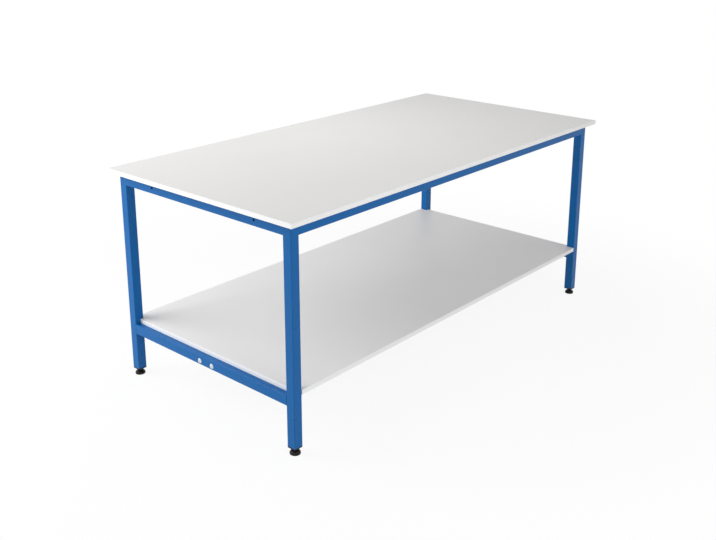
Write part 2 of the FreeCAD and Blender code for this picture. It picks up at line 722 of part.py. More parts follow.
def write_parts(doc):
    """Check each sub-part's shape and write it to a file named after the sub-part."""
    bodies = [item for item in doc.Objects if item.TypeId == "PartDesign::Body"]
    for body in bodies:
        if body.Shape.isNull() or not body.Shape.isValid() or not body.Shape.Solids:
            raise RuntimeError(f"{body.Label} has no valid solid")
    os.makedirs("parts", exist_ok=True)
    for body in bodies:
        body.Shape.exportStep(f"parts/{body.Label}.step")


def main():
    doc = FreeCAD.newDocument("assembly_table")
    s = make_sheet(doc)
    d = derive(s)
    make_legs(doc, s, d)
    make_top_rails(doc, s, d)
    make_top_end_rails(doc, s, d)
    make_lower_end_rails(doc, s, d)
    make_stretcher(doc, s, d)
    make_stretcher_bolts(doc, s, d)
    make_worktop(doc, s, d)
    make_worktop_edging(doc, s, d)
    make_worktop_screws(doc, s, d)
    make_shelf(doc, s, d)
    make_shelf_edging(doc, s, d)
    make_shelf_screws(doc, s, d)
    make_feet(doc, s, d)
    doc.recompute()
    check_document(doc)
    write_parts(doc)


main()
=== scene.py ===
"""Looks of a steel assembly table: powder coat, melamine boards, welds, screws, threaded feet and a studio.

Run as a script it dresses the packed model. The sizes and colours are in the property groups, and each
operator makes one group of pieces. Lengths are in metres, X along the table, Y to its back, Z up.
"""

import json
import math

import bmesh
import bpy
from bpy.props import FloatProperty, FloatVectorProperty, IntProperty, PointerProperty
from bpy.types import Operator, Panel, PropertyGroup
from mathutils import Matrix, Vector, noise

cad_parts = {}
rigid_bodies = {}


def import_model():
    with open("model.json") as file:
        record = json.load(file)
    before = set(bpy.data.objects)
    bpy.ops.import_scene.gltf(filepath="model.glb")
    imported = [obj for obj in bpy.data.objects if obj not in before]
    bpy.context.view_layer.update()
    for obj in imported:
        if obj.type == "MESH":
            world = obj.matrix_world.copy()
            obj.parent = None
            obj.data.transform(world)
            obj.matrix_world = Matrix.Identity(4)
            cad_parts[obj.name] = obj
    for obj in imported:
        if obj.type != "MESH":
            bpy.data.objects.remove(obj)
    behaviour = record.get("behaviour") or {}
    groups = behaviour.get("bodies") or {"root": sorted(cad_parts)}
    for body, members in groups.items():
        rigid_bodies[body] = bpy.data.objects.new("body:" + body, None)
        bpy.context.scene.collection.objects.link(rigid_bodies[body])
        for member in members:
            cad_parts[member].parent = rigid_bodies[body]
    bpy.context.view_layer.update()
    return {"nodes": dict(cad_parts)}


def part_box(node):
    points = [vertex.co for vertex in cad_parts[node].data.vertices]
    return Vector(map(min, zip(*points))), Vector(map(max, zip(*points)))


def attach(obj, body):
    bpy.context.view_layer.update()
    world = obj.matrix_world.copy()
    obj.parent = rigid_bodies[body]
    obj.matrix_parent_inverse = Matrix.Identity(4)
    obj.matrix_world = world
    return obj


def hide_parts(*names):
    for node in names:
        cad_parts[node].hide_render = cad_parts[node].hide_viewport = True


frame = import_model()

bl_info = {
    "name": "Assembly table looks",
    "version": (1, 0, 0),
    "blender": (4, 5, 0),
    "location": "3D View > Sidebar > Table",
    "description": "Finishes, welds, screws, threaded feet and studio of a steel assembly table",
    "category": "Object",
}

MM = 0.001
X, Y, Z = 0, 1, 2
SIDES = (("left", -1), ("right", 1))
ENDS = (("front", -1), ("back", 1))
NODE_SPACING = 200
CORNERS = [(f"{end}_{side}", x_side, y_side) for end, y_side in ENDS for side, x_side in SIDES]
RAILS = [f"top_rail_{end}" for end, _ in ENDS] + [
    f"{rail}_{side}"
    for rail in ("top_end_rail", "lower_end_rail", "stretcher_end_plate") for side, _ in SIDES
]
FRAME_NODES = [f"leg_{corner}" for corner, _, _ in CORNERS] + RAILS + ["shelf_stretcher"]


def linear(code):
    """Linear red, green and blue of an sRGB hex code."""
    channels = [int(code[start:start + 2], 16) / 255 for start in (1, 3, 5)]
    return [c / 12.92 if c <= 0.04045 else ((c + 0.055) / 1.055) ** 2.4 for c in channels]


# ------------ sizes and colours

def colour(name, description, code):
    """A colour a user can change, given as an sRGB hex code."""
    return FloatVectorProperty(
        name=name, description=description, subtype="COLOR", size=3, min=0, max=1, default=linear(code)
    )


def length(name, description, default):
    """A length a user can change, in metres."""
    return FloatProperty(
        name=name, description=description, unit="LENGTH", min=0, precision=5, default=default
    )


def watts(name, description, default):
    """Power of a lamp."""
    return FloatProperty(name=name, description=description, unit="POWER", min=0, default=default)


def fraction(name, description, default):
    """A share a user can change."""
    return FloatProperty(name=name, description=description, subtype="FACTOR", min=0, max=1, default=default)


def degrees(name, description, default):
    """An angle a user can change, given in degrees."""
    return FloatProperty(name=name, description=description, subtype="ANGLE", default=math.radians(default))


def position(name, description, default):
    """A point a user can move, in metres."""
    return FloatVectorProperty(
        name=name, description=description, subtype="TRANSLATION", unit="LENGTH", default=default
    )


class FrameFinish(PropertyGroup):
    """Powder coat of the welded frame."""

    paint: colour("Paint", "Blue of the baked powder coat", "#005EA1")
    peel_width: length("Peel width", "From one ripple of the coat to the next", 4 * MM)
    peel_depth: length("Peel depth", "Height of the ripples of the coat", 0.015 * MM)


class BoardFinish(PropertyGroup):
    """Melamine faces, raw chipboard and plastic edging of worktop and shelf."""

    face: colour("Melamine", "Light grey of the melamine faces", "#E6E5E4")
    edging: colour("Edging", "White of the plastic edging strips", "#F2F2F2")
    chip_light: colour("Light chips", "Pale chips in a sawn edge", "#C9AE86")
    chip_dark: colour("Dark chips", "Dark chips in a sawn edge", "#8E6C46")
    pearl_width: length("Pearl width", "From one pearl of the melamine to the next", 2.5 * MM)
    pearl_depth: length("Pearl depth", "Height of the pearls of the melamine", 0.02 * MM)


class HardwareFinish(PropertyGroup):
    """Bolts, screws, feet and leg inserts."""

    zinc: colour("Zinc", "Bright zinc plate of bolts, nuts, washers and screws", "#CED5DB")
    black_steel: colour("Blackened steel", "Oxide on the foot studs and insert nuts", "#3A3B3D")
    nylon: colour("Nylon", "Black nylon of the pads and leg inserts", "#0C0D0E")


class WeldSizes(PropertyGroup):
    """Ground welds of the top corners and rippled beads elsewhere."""

    tube_radius: length("Tube radius", "Outer corners of the tubes", 3 * MM)
    crown: length("Crown", "Ground weld metal above the tubes at the end rails", 0.18 * MM)
    hollow: length("Hollow", "Ground weld metal below the tubes at the long rails", 0.4 * MM)
    wave: length("Wave", "Unevenness left by grinding", 0.08 * MM)
    bead_radius: length("Bead radius", "Rippled fillet beads", 2.4 * MM)
    bead_lift: length("Bead lift", "Centre of a bead off the corner it fills", 0.5 * MM)
    ripple: length("Ripple", "From one ripple of a bead to the next", 1.8 * MM)
    ripple_share: fraction("Ripple height", "Share of its radius that a bead loses between ripples", 0.16)
    seed: IntProperty(name="Seed", description="Changes how the beads wander", default=4)


class StudSizes(PropertyGroup):
    """Studs of the levelling feet."""

    pitch: length("Thread", "Pitch of the studs", 1.5 * MM)
    depth: length("Thread depth", "From crest to root of the studs", 0.92 * MM)
    crest: length("Crest", "Radius of a stud over its thread", 5 * MM)
    collar: length("Collar", "Radius of the collar inside the pad", 8 * MM)
    collar_height: length("Collar height", "Collar inside the pad", 4 * MM)
    bevel: length("Bevel", "Broken edges of the collar", 0.4 * MM)
    neck: length("Neck", "From the collar to the spanner hexagon", 6.5 * MM)
    hexagon_flats: length("Hexagon", "Spanner hexagon across its flats", 17 * MM)
    hexagon_height: length("Hexagon height", "Spanner hexagon of a stud", 4.5 * MM)


class BoltSizes(PropertyGroup):
    """Domed bolts of the stretcher and their nuts."""

    pitch: length("Thread", "Pitch of the bolts", 1.25 * MM)
    depth: length("Thread depth", "From crest to root of the bolts", 0.77 * MM)
    crest: length("Crest", "Radius of a bolt over its thread", 4 * MM)
    threaded: length("Threaded length", "Thread from a bolt's end", 22 * MM)
    dome: length("Dome", "Height of a domed head", 5 * MM)
    nut_flats: length("Nut", "Nuts across their flats", 13 * MM)


class ScrewSizes(PropertyGroup):
    """Screws that hold the boards."""

    pitch: length("Thread", "Pitch of the screws", 2.2 * MM)
    depth: length("Thread depth", "From crest to root of the screws", 0.9 * MM)
    head: length("Head", "Height of a screw head", 3 * MM)
    tip: length("Tip", "Pointed end of a screw", 3 * MM)
    recess: length("Recess", "Six-lobed recess of a screw head, across", 4.6 * MM)
    recess_depth: length("Recess depth", "Six-lobed recess of a screw head", 1.6 * MM)
    seed: IntProperty(name="Seed", description="Changes how far each screw is turned", default=3)


class StudioSetup(PropertyGroup):
    """Floor, light and camera."""

    floor_reach: length("Floor reach", "From the table's centre to the floor's edge", 9.0)
    paper: colour("Paper", "White paper of the floor", "#F4F4F4")
    shadow_share: fraction("Shadow", "Share of the floor's own shade that shows on the white", 0.1)
    shadow_near: length("Shadow start", "From the table's centre to where its shadow starts to fade", 1.1)
    shadow_far: length("Shadow end", "From the table's centre to where its shadow is gone", 2.4)
    sky: FloatProperty(name="Sky", description="Even light from all round", min=0, default=0.47)
    lamp_power: watts("Lamp", "Power of the soft lamp", 110)
    lamp_size: length("Lamp size", "Side of the soft lamp", 2.6)
    lamp_place: position("Lamp place", "Centre of the soft lamp", (-2.7, 2.3, 2.05))
    fill_power: watts("Fill", "Power of the lamp before the table", 31)
    fill_size: length("Fill size", "Side of the lamp before the table", 2.0)
    fill_place: position("Fill place", "Centre of the lamp before the table", (-0.8, -3.3, 1.5))
    over_power: watts("Over", "Power of the lamp over the worktop", 2.6)
    over_size: length("Over size", "Side of the lamp over the worktop", 0.8)
    over_place: position("Over place", "Centre of the lamp over the worktop", (0.1, 0.4, 1.9))
    camera_place: position("Camera place", "Where the camera stands", (-2.992, -2.543, 1.842))
    camera_heading: degrees("Heading", "Turn of the camera from straight ahead to its right", 48.53)
    camera_tilt: degrees("Tilt", "Turn of the camera downwards", 16.05)
    lens: FloatProperty(name="Lens", description="Focal length", unit="CAMERA", min=1, default=47.74)
    rise: FloatProperty(name="Shift", description="Vertical shift of the lens", default=-0.13)


# ------------ node trees

def socket(sockets, key):
    """The socket with that number, identifier or name."""
    if isinstance(key, int):
        return sockets[key]
    return next(entry for entry in sockets if key in (entry.identifier, entry.name))


def add_node(tree, kind, inputs=None, **settings):
    """Add a node, apply its settings, and set or link its inputs."""
    node = tree.nodes.new(kind)
    node.location.x = NODE_SPACING * len(tree.nodes)
    for name, value in settings.items():
        setattr(node, name, value)
    for key, value in (inputs or {}).items():
        entry = socket(node.inputs, key)
        if isinstance(value, bpy.types.NodeSocket):
            tree.links.new(value, entry)
        else:
            entry.default_value = value
    return node


def empty_tree(owner):
    """The node tree of a material or a world, with nothing in it."""
    owner.use_nodes = True
    owner.node_tree.nodes.clear()
    return owner.node_tree


def start_material(name, metallic=0.0, specular=0.5):
    """A material with its shader and object coordinates."""
    material = bpy.data.materials.new(name)
    tree = empty_tree(material)
    place = add_node(tree, "ShaderNodeTexCoord").outputs["Object"]
    shader = add_node(tree, "ShaderNodeBsdfPrincipled", {
        "Metallic": metallic, "Specular IOR Level": specular,
    })
    add_node(tree, "ShaderNodeOutputMaterial", {"Surface": shader.outputs["BSDF"]})
    return material, tree, place, shader


def shade(rgb, factor):
    """A colour made lighter or darker, with full alpha."""
    return (*[min(channel * factor, 1) for channel in rgb], 1)


def shades(rgb, spread):
    """A colour made darker and made lighter by a share of itself."""
    return shade(rgb, 1 - spread), shade(rgb, 1 + spread)


def vary(tree, shader, pattern, tones, roughness, swing=(0.0, 1.0)):
    """Take the shader from its first tone and roughness to its second while the pattern swings up."""
    tone = add_node(tree, "ShaderNodeMix", {
        "Factor_Float": pattern, "A_Color": tones[0], "B_Color": tones[1],
    }, data_type="RGBA")
    gloss = add_node(tree, "ShaderNodeMapRange", {
        "Value": pattern, "From Min": swing[0], "From Max": swing[1],
        "To Min": roughness[0], "To Max": roughness[1],
    })
    tree.links.new(socket(tone.outputs, "Result_Color"), shader.inputs["Base Color"])
    tree.links.new(gloss.outputs["Result"], shader.inputs["Roughness"])


def bumped(tree, shader, height, depth):
    """Raise the shader's surface by a pattern."""
    bump = add_node(tree, "ShaderNodeBump", {"Height": height, "Distance": depth})
    tree.links.new(bump.outputs["Normal"], shader.inputs["Normal"])


def powder_coat(finish):
    """Polyester powder sprayed on steel and baked.

    It flows into a smooth, half-glossy skin with a soft orange peel, a little deeper in tone where the
    film is thick. Real peel is about 2 mm wide and is drawn twice as coarse, so that it shows.
    """
    film_width = 90 * MM
    material, tree, place, shader = start_material("powder_coat", specular=0.2)
    peel = add_node(tree, "ShaderNodeTexNoise", {
        "Vector": place, "Scale": 1 / finish.peel_width, "Detail": 2.0,
    })
    film = add_node(tree, "ShaderNodeTexNoise", {"Vector": place, "Scale": 1 / film_width, "Detail": 1.0})
    blues = shades(finish.paint, 0.04)
    vary(tree, shader, film.outputs["Fac"], tones=blues, roughness=(0.26, 0.36), swing=(0.3, 0.7))
    bumped(tree, shader, peel.outputs["Fac"], depth=finish.peel_depth)
    return material


def melamine_board(finish):
    """Chipboard faced with melamine paper pressed against a pearl-textured plate.

    The faces are an even light grey with a satin sheen broken up by the pearls, drawn coarser than the
    real 0.5 mm. Sawn edges without a strip show the chips.
    """
    cloud_width = 250 * MM
    chip_width = 2.5 * MM
    material, tree, place, shader = start_material("melamine_board", specular=0.25)
    pearls = add_node(tree, "ShaderNodeTexNoise", {
        "Vector": place, "Scale": 1 / finish.pearl_width, "Detail": 3.0,
    })
    clouds = add_node(tree, "ShaderNodeTexNoise", {"Vector": place, "Scale": 1 / cloud_width, "Detail": 2.0})
    darker, lighter = shades(finish.face, 0.02)
    grey = add_node(tree, "ShaderNodeMix", {
        "Factor_Float": clouds.outputs["Fac"], "A_Color": darker, "B_Color": lighter,
    }, data_type="RGBA")
    chips = add_node(tree, "ShaderNodeTexVoronoi", {"Vector": place, "Scale": 1 / chip_width})
    chip_tone = add_node(tree, "ShaderNodeSeparateColor", {"Color": chips.outputs["Color"]})
    raw = add_node(tree, "ShaderNodeMix", {
        "Factor_Float": chip_tone.outputs["Red"],
        "A_Color": shade(finish.chip_dark, 1),
        "B_Color": shade(finish.chip_light, 1),
    }, data_type="RGBA")
    normal = add_node(tree, "ShaderNodeTexCoord").outputs["Normal"]
    facing = add_node(tree, "ShaderNodeSeparateXYZ", {"Vector": normal})
    flatness = add_node(tree, "ShaderNodeMath", {0: facing.outputs["Z"]}, operation="ABSOLUTE")
    faced = add_node(tree, "ShaderNodeMath", {0: flatness.outputs[0], 1: 0.5}, operation="GREATER_THAN")
    sawn_or_faced = (socket(raw.outputs, "Result_Color"), socket(grey.outputs, "Result_Color"))
    vary(tree, shader, faced.outputs[0], tones=sawn_or_faced, roughness=(0.9, 0.42))
    bumped(tree, shader, pearls.outputs["Fac"], depth=finish.pearl_depth)
    return material


def abs_edging(finish):
    """ABS strip glued round the boards: smooth and white, with faint lengthwise lines from extrusion."""
    line_length = 500 * MM
    line_width = 1.2 * MM
    material, tree, place, shader = start_material("abs_edging")
    stretch = add_node(tree, "ShaderNodeMapping", {
        "Vector": place, "Scale": (1 / line_length, 1 / line_length, 1 / line_width),
    })
    lines = add_node(tree, "ShaderNodeTexNoise", {
        "Vector": stretch.outputs["Vector"], "Scale": 1.0, "Detail": 1.0,
    })
    vary(tree, shader, lines.outputs["Fac"], tones=shades(finish.edging, 0.03), roughness=(0.25, 0.45))
    bumped(tree, shader, lines.outputs["Fac"], depth=0.01 * MM)
    return material


def zinc_plate(finish):
    """Electroplated zinc on steel: bright bluish white, clouded a few millimetres wide by the passivate."""
    cloud_width = 5 * MM
    grain_width = 0.8 * MM
    yellowing = (1.01, 1.0, 0.96)
    material, tree, place, shader = start_material("zinc_plate", metallic=1.0)
    clouds = add_node(tree, "ShaderNodeTexNoise", {"Vector": place, "Scale": 1 / cloud_width, "Detail": 2.0})
    grain = add_node(tree, "ShaderNodeTexNoise", {"Vector": place, "Scale": 1 / grain_width, "Detail": 2.0})
    warm = [channel * tint for channel, tint in zip(finish.zinc, yellowing)]
    plate = (shade(finish.zinc, 1), shade(warm, 1))
    vary(tree, shader, clouds.outputs["Fac"], tones=plate, roughness=(0.2, 0.4))
    bumped(tree, shader, grain.outputs["Fac"], depth=0.01 * MM)
    return material


def blackened_steel(finish):
    """Steel blackened in an oxide bath and oiled: dark grey metal with a broken, oily shine."""
    smear_width = 3 * MM
    material, tree, place, shader = start_material("blackened_steel", metallic=1.0)
    oil = add_node(tree, "ShaderNodeTexNoise", {"Vector": place, "Scale": 1 / smear_width, "Detail": 3.0})
    vary(tree, shader, oil.outputs["Fac"], tones=shades(finish.black_steel, 0.3), roughness=(0.28, 0.5))
    return material


def black_nylon(finish):
    """Injection-moulded polyamide: deep black, with the uneven satin skin of a spark-eroded mould."""
    skin_width = 0.9 * MM
    flow_width = 14 * MM
    material, tree, place, shader = start_material("black_nylon", specular=0.25)
    skin = add_node(tree, "ShaderNodeTexNoise", {"Vector": place, "Scale": 1 / skin_width, "Detail": 2.0})
    flow = add_node(tree, "ShaderNodeTexNoise", {"Vector": place, "Scale": 1 / flow_width, "Detail": 1.0})
    vary(tree, shader, flow.outputs["Fac"], tones=shades(finish.nylon, 0.2), roughness=(0.3, 0.45))
    bumped(tree, shader, skin.outputs["Fac"], depth=0.015 * MM)
    return material


def finished(make, settings):
    """The material that a function makes and that bears its name, made on first use."""
    return bpy.data.materials.get(make.__name__) or make(settings)


def paint_nodes(names, material):
    """Give packed nodes their finish."""
    for name in names:
        for entry in frame["nodes"][name].material_slots:
            entry.material = material


# ------------ meshes

def face(node, axis, side):
    """Where a node's lower (side -1) or upper (side 1) face lies along an axis."""
    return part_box(node)[side > 0][axis]


def solid_boxes(node, merge=0.01 * MM):
    """Lowest and highest corner of each separate solid of a node."""
    shell = bmesh.new()
    shell.from_mesh(frame["nodes"][node].data)
    bmesh.ops.remove_doubles(shell, verts=shell.verts, dist=merge)
    waiting = set(shell.verts)
    boxes = []
    while waiting:
        front = [waiting.pop()]
        points = []
        while front:
            vertex = front.pop()
            points.append(vertex.co.copy())
            for edge in vertex.link_edges:
                other = edge.other_vert(vertex)
                if other in waiting:
                    waiting.remove(other)
                    front.append(other)
        boxes.append((Vector(map(min, *points)), Vector(map(max, *points))))
    shell.free()
    return sorted(boxes, key=lambda box: tuple(box[0]))


def add_rings(shell, rings, bored=False):
    """Join rings of equally many points into a closed skin: capped at both ends, or bored through."""
    rows = [[shell.verts.new(point) for point in ring] for ring in rings]
    following = rows[1:] + rows[:1] if bored else rows[1:]
    for lower, upper in zip(rows, following):
        for index in range(len(lower)):
            shell.faces.new((lower[index - 1], lower[index], upper[index], upper[index - 1]))
    if not bored:
        shell.faces.new(reversed(rows[0]))
        shell.faces.new(rows[-1])


def polar_ring(centre, height, radius, segments):
    """A ring round a vertical axis whose radius may be a number or a function of the angle."""
    ring = []
    for index in range(segments):
        angle = math.tau * index / segments
        reach = radius(angle) if callable(radius) else radius
        ring.append(Vector((centre.x + reach * math.cos(angle), centre.y + reach * math.sin(angle), height)))
    return ring


def add_turned(shell, centre, profile, segments):
    """A closed turned shape from its heights and radii, in order along its outline."""
    add_rings(shell, [polar_ring(centre, height, radius, segments) for height, radius in profile])


def add_thread(shell, centre, low, high, pitch, crest, depth, segments=36):
    """A right-hand thread between two heights, running out into its core at both ends.

    Each row of points climbs one pitch a turn, so crests and roots are clean lines. The profile gives
    the share of the depth at which each of a turn's rows stands.
    """
    profile = (0.0, 0.0, 0.5, 1.0, 1.0, 0.5)
    rows_a_turn = len(profile)
    core = crest - depth
    merge = 0.001 * MM
    rows = []
    for row in range(rows_a_turn * (math.ceil((high - low) / pitch) + 1) + 1):
        points = []
        for index in range(segments + 1):
            angle = math.tau * index / segments
            height = low + pitch * ((row - rows_a_turn) / rows_a_turn + index / segments)
            run_out = min(max(min(height - low, high - height) / pitch, 0), 1)
            reach = core + depth * profile[row % rows_a_turn] * run_out
            height = min(max(height, low), high)
            points.append(shell.verts.new(
                (centre.x + reach * math.cos(angle), centre.y + reach * math.sin(angle), height)
            ))
        rows.append(points)
    for lower, upper in zip(rows, rows[1:]):
        for index in range(segments):
            shell.faces.new((lower[index], lower[index + 1], upper[index + 1], upper[index]))
    bmesh.ops.remove_doubles(shell, verts=[vertex for points in rows for vertex in points], dist=merge)
    bmesh.ops.holes_fill(shell, edges=[edge for edge in shell.edges if edge.is_boundary])


def add_placed(shell, place, add, *details):
    """Add a shape that stands on the origin, then move it to its place."""
    before = set(shell.verts)
    add(shell, *details)
    made = [vertex for vertex in shell.verts if vertex not in before]
    bmesh.ops.transform(shell, matrix=place, verts=made)


def linked(name, data):
    """An object in the scene."""
    made = bpy.data.objects.new(name, data)
    bpy.context.scene.collection.objects.link(made)
    return made


def drawn(name, points, edges=(), faces=()):
    """A mesh object in the scene from its points, and what joins them."""
    mesh = bpy.data.meshes.new(name)
    mesh.from_pydata(points, edges, faces)
    return linked(name, mesh)


def object_from(shell, name, material, sharp=math.radians(40)):
    """An object in the scene with outward faces, smooth except at sharp edges."""
    bmesh.ops.recalc_face_normals(shell, faces=shell.faces)
    mesh = bpy.data.meshes.new(name)
    shell.to_mesh(mesh)
    shell.free()
    mesh.shade_smooth()
    mesh.set_sharp_from_angle(angle=sharp)
    mesh.materials.append(material)
    return linked(name, mesh)


def run_tree(piece, tree, values):
    """Put a mesh object through a node tree and keep the result as its plain mesh."""
    modifier = piece.modifiers.new(tree.name, "NODES")
    modifier.node_group = tree
    for item in tree.interface.items_tree:
        if item.name in values:
            modifier[item.identifier] = values[item.name]
    depsgraph = bpy.context.evaluated_depsgraph_get()
    result = bpy.data.meshes.new_from_object(piece.evaluated_get(depsgraph), depsgraph=depsgraph)
    piece.modifiers.remove(modifier)
    result.name = piece.name
    piece.data = result


def start_tree(name, inputs):
    """A geometry tree with a mesh going in and out, and its named inputs by kind."""
    tree = bpy.data.node_groups.new(name, "GeometryNodeTree")
    tree.interface.new_socket("Geometry", in_out="INPUT", socket_type="NodeSocketGeometry")
    for label, kind in inputs.items():
        tree.interface.new_socket(label, in_out="INPUT", socket_type=f"NodeSocket{kind}")
    tree.interface.new_socket("Geometry", in_out="OUTPUT", socket_type="NodeSocketGeometry")
    return tree, add_node(tree, "NodeGroupInput")


def end_tree(tree, geometry, material):
    """Make instances real, give them their finish and send them out."""
    real = add_node(tree, "GeometryNodeRealizeInstances", {"Geometry": geometry})
    dressed = add_node(tree, "GeometryNodeSetMaterial", {
        "Geometry": real.outputs["Geometry"], "Material": material,
    })
    add_node(tree, "NodeGroupOutput", {"Geometry": dressed.outputs["Geometry"]})
    return tree


# ------------ welds

# Outlines of ground weld metal across its groove, from the leg's side to the rail's: how far towards the
# leg, in tube radii, and the share of the crown or the hollow that is there.
PROUD_OUTLINE = ((1.8, 0.0), (1.08, 0.8), (0.36, 1.0), (-0.4, 0.8), (-0.8, 0.0))
HOLLOW_OUTLINE = ((0.9, 1.0), (0.45, 1.05), (-0.1, 1.0))
ROOT_REACH = 0.1


def groove_rings(origin, towards_leg, outwards, low, high, weld, raised):
    """Rings of the weld metal that fills a groove between a rail's end and a leg's rounded corner.

    The metal stands a little proud where raised, and lies a little hollow otherwise. Each ring closes
    round a root one tube radius deep in the groove.
    """
    step = 4 * MM
    wave_width = 9 * MM
    radius = weld.tube_radius
    level = weld.crown if raised else -weld.hollow
    outline = PROUD_OUTLINE if raised else HOLLOW_OUTLINE
    rings = []
    count = max(2, round((high - low) / step))
    for index in range(count + 1):
        height = low + (high - low) * index / count
        centre = origin + Vector((0, 0, height))
        ring = []
        for radii, share in outline:
            point = centre + towards_leg * (radii * radius)
            wave = weld.wave * noise.noise(point / wave_width) * share
            ring.append(point + outwards * (level * share + wave))
        ring.append(centre + towards_leg * (ROOT_REACH * radius) - outwards * radius)
        rings.append(ring)
    return rings


def corner_seams(weld):
    """Rings of the ground welds between each leg and its two top rails."""
    below_top = 0.1 * MM
    for corner, x_side, y_side in CORNERS:
        leg = f"leg_{corner}"
        end, side = corner.split("_")
        along_x, along_y = Vector((x_side, 0, 0)), Vector((0, y_side, 0))
        for rail, origin, towards_leg, outwards, raised in (
            (f"top_rail_{end}", (face(leg, X, -x_side), face(leg, Y, y_side)), along_x, along_y, False),
            (f"top_end_rail_{side}", (face(leg, X, x_side), face(leg, Y, -y_side)), along_y, along_x, True),
        ):
            low = face(rail, Z, -1) + weld.tube_radius
            high = face(rail, Z, 1) - below_top
            yield groove_rings(Vector((*origin, 0)), towards_leg, outwards, low, high, weld, raised)


def bead_lines(weld):
    """Start and end of each fillet bead on the frame's inner, lower and ledge seams."""
    radius = weld.tube_radius
    edging_gap = 1 * MM
    sunk = 0.9 * MM
    down, up = Vector((0, 0, -1)), Vector((0, 0, 1))
    lines = []

    def lay(start, end, first_face, second_face, lift=weld.bead_lift):
        """Note a bead along the corner of two faces, lifted off both."""
        move = (first_face + second_face) * lift
        lines.append((Vector(start) + move, Vector(end) + move))

    for corner, x_side, y_side in CORNERS:
        end, side = corner.split("_")
        leg = f"leg_{corner}"
        inward_x, inward_y = Vector((-x_side, 0, 0)), Vector((0, -y_side, 0))
        leg_x, leg_y = face(leg, X, -x_side), face(leg, Y, -y_side)

        rail = f"top_rail_{end}"
        rail_y, outer_y = face(rail, Y, -y_side), face(rail, Y, y_side)
        low, high = face(rail, Z, -1), face(rail, Z, 1)
        lay((leg_x, rail_y, low + radius), (leg_x, rail_y, high - radius), inward_x, inward_y)
        lay((leg_x, rail_y + y_side * radius, low), (leg_x, outer_y - y_side * radius, low), inward_x, down)

        rail = f"top_end_rail_{side}"
        rail_x, outer_x = face(rail, X, -x_side), face(rail, X, x_side)
        lay((rail_x, leg_y, low + radius), (rail_x, leg_y, high - radius), inward_x, inward_y)
        lay((rail_x + x_side * radius, leg_y, low), (outer_x - x_side * radius, leg_y, low), inward_y, down)

        rail = f"lower_end_rail_{side}"
        low, high = face(rail, Z, -1), face(rail, Z, 1)
        rail_x = face(rail, X, -x_side)
        ledge_x = face(f"shelf_edging_{side}", X, x_side) + x_side * (weld.bead_radius + edging_gap)
        lay((ledge_x, leg_y, high), (outer_x - x_side * radius, leg_y, high), inward_y, up)
        lay((rail_x + x_side * radius, leg_y, low), (outer_x - x_side * radius, leg_y, low), inward_y, down)
        lay((rail_x, leg_y, low + radius), (rail_x, leg_y, high - radius), inward_x, inward_y, lift=-sunk)

    for side, x_side in SIDES:
        plate_x = face(f"stretcher_end_plate_{side}", X, -x_side)
        low, high = face("shelf_stretcher", Z, -1), face("shelf_stretcher", Z, 1)
        for _, y_side in ENDS:
            wall_y = face("shelf_stretcher", Y, y_side)
            lay(
                (plate_x, wall_y, low + radius), (plate_x, wall_y, high - radius),
                Vector((-x_side, 0, 0)), Vector((0, y_side, 0)),
            )
    return lines


